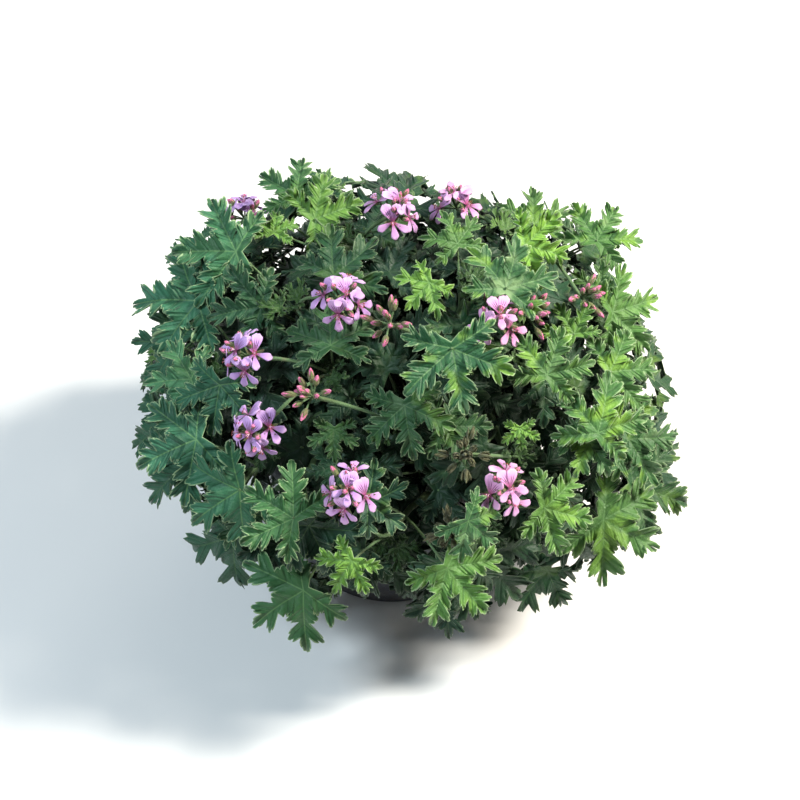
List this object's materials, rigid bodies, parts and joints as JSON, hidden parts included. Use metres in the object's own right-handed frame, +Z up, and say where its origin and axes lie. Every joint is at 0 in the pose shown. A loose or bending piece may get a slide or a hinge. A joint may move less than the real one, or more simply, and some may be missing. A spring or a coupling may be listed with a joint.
{
  "type": "potted rose-scented geranium",
  "caption": "Bushy potted plant with deeply cut lobed green leaves and umbels of mauve-pink flowers, in a plain round tapered pot.",
  "frame": {"origin": "centre of the pot's flat underside, on the surface it stands on", "axes": "+Z up, -Y towards the viewer of the picture, +X to the viewer's right"},
  "size_m": [0.413, 0.4047, 0.3433],
  "materials": {
    "pot": "matte",
    "soil": "matte",
    "foliage": "matte",
    "petals": "satin"
  },
  "bodies": {
    "root": {"pot": "pot", "soil": "soil", "leafy_stem_a": "foliage", "leafy_stem_b": "foliage", "leafy_stem_c": "foliage", "leafy_stem_d": "foliage", "leafy_stem_e": "foliage", "leafy_stem_f": "foliage", "leafy_stem_g": "foliage", "leafy_stem_h": "foliage", "leafy_stem_i": "foliage", "leafy_stem_j": "foliage", "umbel_petals_01": "petals", "umbel_petals_02": "petals", "umbel_petals_03": "petals", "umbel_petals_04": "petals", "umbel_petals_06": "petals", "umbel_petals_07": "petals", "umbel_petals_09": "petals", "umbel_petals_11": "petals", "umbel_petals_12": "petals"}
  },
  "joints": []
}
